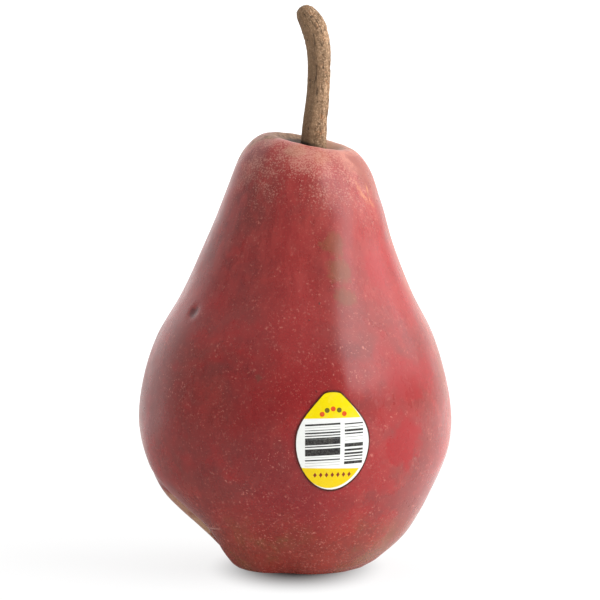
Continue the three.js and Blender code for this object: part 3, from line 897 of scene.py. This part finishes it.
# %% Dry calyx material
dry_calyx, tree = new_material("dry_calyx", Specular_IOR_Level=0.25)
place = object_place()
from_cup = distance_from(place, (CALYX_X * MM, 0, 0.0045))
papery = mottled(place, 700.0, 0.38, 0.64, 5.0)
dusty = specks(place, 2600.0, 0.35, 0.5)
brown = blend(papery, (0.045, 0.024, 0.012), (0.12, 0.07, 0.036))
brown = blend(fade(from_cup, 0.0028, 0.0062, 0.0, 0.7), brown, (0.2, 0.14, 0.09))
brown = blend(times(dusty, 0.5), brown, (0.28, 0.2, 0.13))
rough = fade(papery, 0, 1, 0.75, 0.95)
dress(calyx, dry_calyx, Base_Color=brown, Roughness=rough, Normal=bump(papery, 0.5, 0.0001))

# %% [markdown]
# ## Sticker paper and its print
# The sticker is white paper with a yellow zone above, a yellow zone below, dark bars on the white
# between them, an arc of small warm dots above and a row of small lozenges below. The print is a
# plain pattern that says nothing. It reads each point's place on the flat label, in millimetres.
# Every zone is a soft edged test on that place, so the print stays sharp at any distance.

# %% Print helpers
paper, tree = new_material("printed_paper", Specular_IOR_Level=0.12)
label = add_node("Attribute", attribute_name="label_place").outputs["Vector"]
right, up, rim = axes(label)
EDGE = 0.06


def beyond(value, limit, edge=EDGE):
    """1 where the value is above the limit and 0 below it, with a soft edge."""
    return fade(value, limit - edge, limit + edge)


def short_of(value, limit, edge=EDGE):
    """1 where the value is below the limit and 0 above it, with a soft edge."""
    return fade(value, limit - edge, limit + edge, 1, 0)


# %% Print: zones
WHITE, YELLOW, GOLD, INK = (0.7, 0.715, 0.69), (0.69, 0.55, 0.0), (0.66, 0.48, 0.004), (0.012, 0.011, 0.011)
WARM, OLIVE_INK, BROWN_INK = (0.56, 0.07, 0.012), (0.13, 0.1, 0.012), (0.2, 0.03, 0.012)
RIM_INK_AND_SHADE, GRIME = (0.06, 0.01, 0.007), (0.5, 0.45, 0.36)
shifted_print = plus(times(right, 0.006), times(up, -0.003))
in_print = short_of(plus(rim, shifted_print), 0.965, 0.008)
top_zone = times(beyond(up, 5.3), in_print)
bottom_zone = times(short_of(plus(up, times(right, 0.03)), -6.1), in_print)
colour = blend(top_zone, WHITE, YELLOW)
colour = blend(bottom_zone, colour, GOLD)

# %% Print: bars in two uneven columns
slanted = plus(up, times(right, -0.035))


def bar_column(row_height, seed, thinnest, thickest):
    """Bars one to a row. Each row's bar has its own thickness, between two shares of the row."""
    rows = plus(maths("DIVIDE", slanted, row_height), seed)
    row = maths("FLOOR", rows)
    chance = add_node("TexWhiteNoise", {"W": row}, noise_dimensions="1D").outputs["Value"]
    thickness = fade(chance, 0, 1, thinnest, thickest)
    from_middle = off(maths("FRACT", rows), 0.5)
    return short_of(minus(from_middle, times(thickness, 0.5)), 0.0, EDGE / row_height)


left_bars = maths("MAXIMUM", bar_column(0.62, 7.0, 0.05, 0.75), bar_column(2.3, 3.4, -0.5, 0.6))
left_column = times(left_bars, beyond(right, -6.4), short_of(right, 1.6))
right_bars = maths("MAXIMUM", bar_column(0.74, 40.3, 0.05, 0.7), bar_column(2.0, 11.0, -0.4, 0.62))
right_column = times(right_bars, beyond(right, 2.6), short_of(right, 7.0))
bars = times(maths("MAXIMUM", left_column, right_column), short_of(slanted, 4.5), beyond(slanted, -5.6))
ink_wear = fade(noise(label, 3.0, 3, 0.6), 0.35, 0.65, 0.94, 1.0)
colour = blend(times(bars, ink_wear), colour, INK)

# %% Print: an arc of dots above and lozenges below
DOT_STEP, DOT_RADIUS, ARC_RADIUS, ARC_MIDDLE = 0.42, 0.56, 3.4, 4.0
LOZENGE_STEP, LOZENGE_RADIUS, LOZENGE_UP = 1.35, 0.42, -7.6


def nearest_multiple(value, step):
    """The multiple of step that is nearest to the value."""
    return times(maths("ROUND", maths("DIVIDE", value, step)), step)


nearest_dot = nearest_multiple(maths("ARCTAN2", right, minus(up, ARC_MIDDLE)), DOT_STEP)
across = minus(right, times(maths("SINE", nearest_dot), ARC_RADIUS))
along = minus(up, plus(times(maths("COSINE", nearest_dot), ARC_RADIUS), ARC_MIDDLE))
from_dot = maths("SQRT", plus(times(across, across), times(along, along)))
dots = times(short_of(from_dot, DOT_RADIUS, 0.05), short_of(off(nearest_dot, 0), 1.0, 0.01))
odd_dot = maths("PINGPONG", maths("DIVIDE", nearest_dot, DOT_STEP), 1.0)
colour = blend(dots, colour, blend(odd_dot, WARM, OLIVE_INK))
nearest = nearest_multiple(right, LOZENGE_STEP)
from_lozenge = plus(off(right, nearest), times(off(up, LOZENGE_UP), 0.7))
lozenges = times(short_of(from_lozenge, LOZENGE_RADIUS, 0.05), short_of(off(nearest, 0), 4.2, 0.01))
colour = blend(lozenges, colour, BROWN_INK)

# %% Print: rim, paper grain and shine
# Print and painted shade: a thin dark line round the rim, partly ink and partly the shade at the paper's
# edge.
colour = blend(beyond(rim, 0.963, 0.006), colour, RIM_INK_AND_SHADE)
colour = blend(times(mottled(label, 0.5, 0.45, 0.8, 2), 0.12), colour, GRIME)
fibre = noise(label, 9, 4, 0.7)
rough = fade(fibre, 0.3, 0.7, 0.34, 0.44)
dress(sticker, paper, Base_Color=colour, Roughness=rough, Normal=bump(fibre, 0.12, 0.00005))

# %% [markdown]
# ## Studio
# The fruit stands on a white sweep. For the camera the sweep is a painted glow, more so away from the
# pear, which keeps it pure white round a short soft painted shadow. For bounced light it is a plain
# pale floor that glows a little close by, a painted light that fills the belly from below. The skin's
# painted reflection of it is darker in front and on the left. Two tall soft boxes to the right, one
# broad and one narrow beside it, give the pale reflection down the right side with its crisp left
# edge. A third, low down, only lights. The white room is bright behind and beside the fruit and dimmer
# where the camera stands, and what the skin mirrors of it is dimmer still at the sides.

# %% Floor
FLOOR_RADIUS, FLOOR_CORNERS = 8.0, 64
floor_mesh = bpy.data.meshes.new("white_floor")
turn = full_turn(FLOOR_CORNERS)
corners = np.stack([FLOOR_RADIUS * np.cos(turn), FLOOR_RADIUS * np.sin(turn), 0 * turn], -1)
floor_mesh.from_pydata(corners.tolist(), [], [list(range(FLOOR_CORNERS))])
floor = new_object("white_floor", floor_mesh)

# %% Floor material
PALE, DIM, BRIGHT_GREY, SEEN = (0.74,) * 3, (0.3,) * 3, (0.8,) * 3, (0.13,) * 3
floor_material, tree = new_material(
    "white_floor_finish", Roughness=0.9, Specular_IOR_Level=0.0, Emission_Color=(1, 1, 1, 1)
)
place = object_place()
at = axes(place)
path = add_node("LightPath").outputs
# Painted reflection: what the skin mirrors of the floor is darker in front and on the left.
bright_share = maths("MAXIMUM", fade(at["X"], -0.03, 0.08), fade(at["Y"], 0.03, 0.22))
bounced = blend(path["Is Glossy Ray"], PALE, blend(bright_share, DIM, BRIGHT_GREY))
grey = blend(path["Is Camera Ray"], bounced, SEEN)
# Painted shadow: for the camera the floor glows, except in a flattened ellipse round the foot, which stays a
# soft shadow.
flattened = stretched(place, (1.28, 0.68, 1), (-0.0003, 0.003, 0))
painted_glow_and_shadow = fade(distance_from(flattened, (0, 0, 0)), 0.0045, 0.0278, 0, 0.84)
painted_glow_and_shadow = plus(painted_glow_and_shadow, fade(distance_from(place, (0, 0, 0)), 0.04, 0.6, 0, 0.3))
# Painted light: close to the pear the floor glows for bounced light, to fill the belly from below.
lit_below = fade(distance_from(place, (0.02, -0.01, 0)), 0.03, 0.12, 0.6, 0)
painted_glow_and_shadow = plus(times(painted_glow_and_shadow, path["Is Camera Ray"]), times(lit_below, path["Is Diffuse Ray"]))
dress(floor, floor_material, Base_Color=grey, Emission_Strength=painted_glow_and_shadow)

# %% Lights
MIDDLE = Vector((0, 0, 0.055))


def soft_box(name, azimuth, elevation, width, height, power):
    """A rectangular light 1 m from the pear that faces it. Azimuth 0 is at the camera, 90 on the right."""
    a, e = radians(azimuth), radians(elevation)
    away = Vector((sin(a) * cos(e), -cos(a) * cos(e), sin(e)))
    light = bpy.data.lights.new(name, "AREA")
    light.shape = "RECTANGLE"
    light.size, light.size_y = width, height
    light.energy = power
    lamp = new_object(name, light)
    lamp.location = MIDDLE + away
    lamp.rotation_euler = away.to_track_quat("Z", "Y").to_euler()
    print(name, "gives", power, "W")
    return lamp


soft_box("key_right", 80, 35, 1.55, 0.85, 8.2)
soft_box("strip_right", 60, 35, 0.66, 0.85, 3.3)
wash = soft_box("side_wash", 84, 3, 1.4, 1.0, 12.8)
wash.visible_glossy = False

# %% White room
world = bpy.data.worlds.new("white_room")
world.use_nodes = True
tree = world.node_tree
towards = axes(add_node("TexCoord").outputs["Generated"])
path = add_node("LightPath").outputs
overhead = fade(towards["Z"], 0.1, 0.9, 0, 0.35)
room = plus(fade(towards["Y"], -0.8, 0.85, 0.27, 1.38), overhead)
mirrored = plus(fade(towards["Y"], 0, 1, 0.28, 1.4), overhead)
not_mirrored = times(room, minus(1.0, path["Is Glossy Ray"]))
room = maths("MULTIPLY_ADD", mirrored, path["Is Glossy Ray"], not_mirrored)
background = tree.nodes["Background"]
background.inputs["Color"].default_value = (1, 1, 1, 1)
tree.links.new(maths("MAXIMUM", room, times(path["Is Camera Ray"], 1.1)), background.inputs["Strength"])
bpy.context.scene.world = world
bpy.context.scene.view_settings.view_transform = "Standard"
